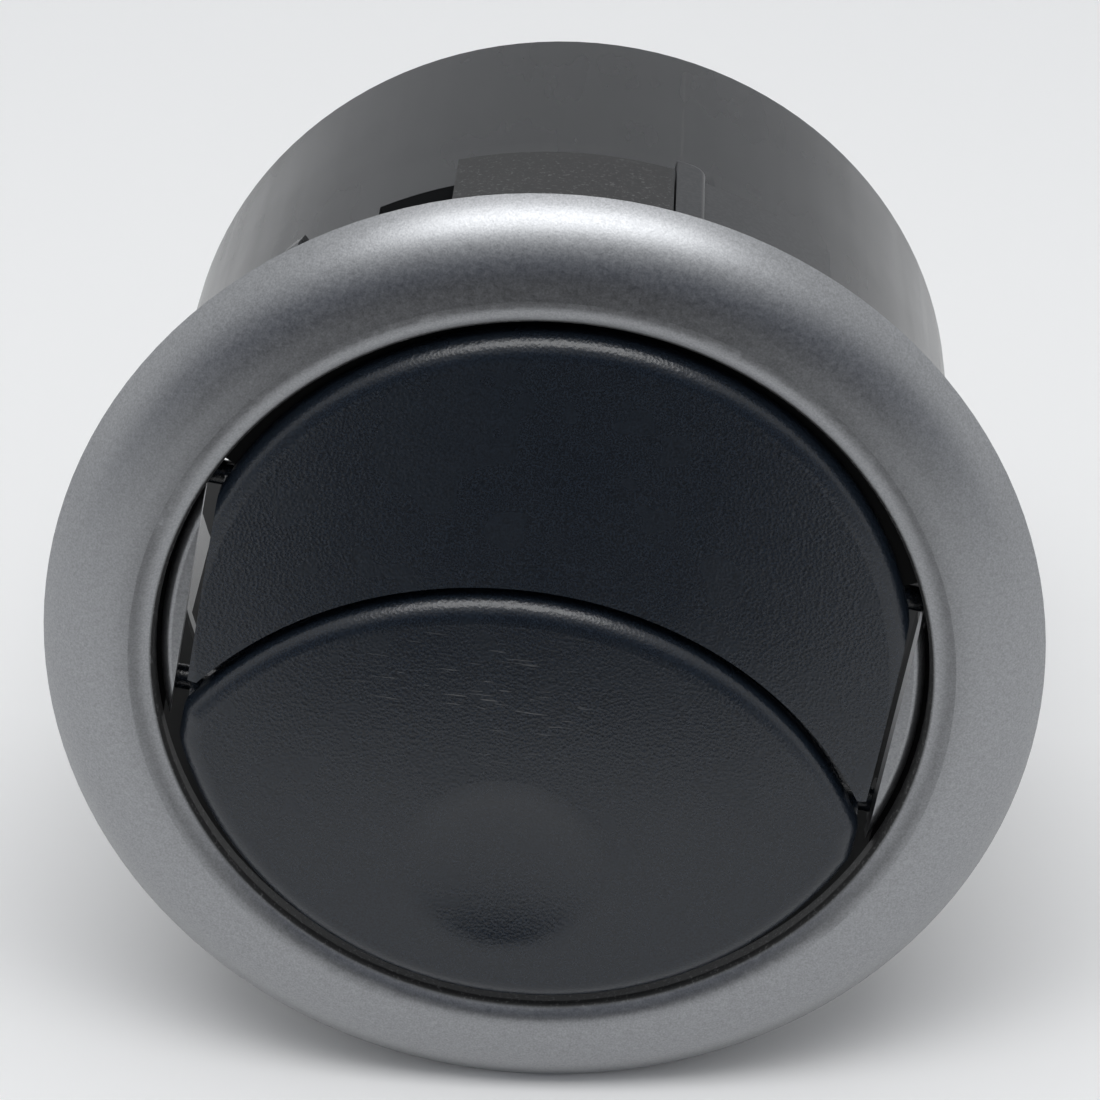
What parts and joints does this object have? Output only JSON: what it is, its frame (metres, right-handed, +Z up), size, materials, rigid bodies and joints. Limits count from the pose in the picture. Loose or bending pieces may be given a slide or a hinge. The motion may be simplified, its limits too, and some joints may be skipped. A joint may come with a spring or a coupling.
{
  "type": "round dashboard air vent",
  "caption": "Round vehicle air vent: silver bezel on a black duct sleeve, with a turning drum that carries linked tilting flaps.",
  "frame": {"origin": "on the vent axis, in the plane of the bezel's rear seat on the dash", "axes": "+Y along the vent axis into the dash, -Y towards the cabin, +Z up with the flap pivots level along X"},
  "size_m": [0.096, 0.066, 0.096],
  "materials": {
    "silver_paint": "satin metallic paint on plastic",
    "black_sleeve": "satin",
    "black_drum": "satin",
    "grained_black": "fine leather grain",
    "felt": "pressed felt",
    "bush_plastic": "low-friction plastic",
    "link_plastic": "smooth"
  },
  "bodies": {
    "housing": {"bezel_ring": "silver_paint", "housing_sleeve": "black_sleeve", "friction_ring": "felt"},
    "drum": {"drum": "black_drum", "cheek_trim_left": "silver_paint", "cheek_trim_right": "silver_paint", "pivot_bush_upper_left": "bush_plastic", "pivot_bush_upper_right": "bush_plastic", "pivot_bush_lower_left": "bush_plastic", "pivot_bush_lower_right": "bush_plastic"},
    "upper_flap": {"upper_flap": "grained_black"},
    "lower_flap": {"lower_flap": "grained_black"},
    "link": {"link_bar": "link_plastic"}
  },
  "joints": [
    {"name": "drum_turn", "type": "hinge", "parent": "housing", "child": "drum", "pos_m": [0, 0, 0], "axis": [0, 1, 0], "continuous": true},
    {"name": "flap_tilt", "type": "hinge", "parent": "drum", "child": "lower_flap", "pos_m": [0, 0.0026, -0.0104], "axis": [1, 0, 0], "range_deg": [0, 70]},
    {"name": "upper_flap_tilt", "type": "hinge", "parent": "drum", "child": "upper_flap", "pos_m": [0, 0.0026, 0.0123], "axis": [1, 0, 0], "range_deg": [0, 70]},
    {"name": "link_swing", "type": "hinge", "parent": "upper_flap", "child": "link", "pos_m": [-0.011, 0.0056, 0.0003], "axis": [1, 0, 0], "range_deg": [-70, 0]}
  ],
  "couplings": [
    {"joint": "upper_flap_tilt", "follows": "flap_tilt", "ratio": 1},
    {"joint": "link_swing", "follows": "flap_tilt", "ratio": -1}
  ]
}
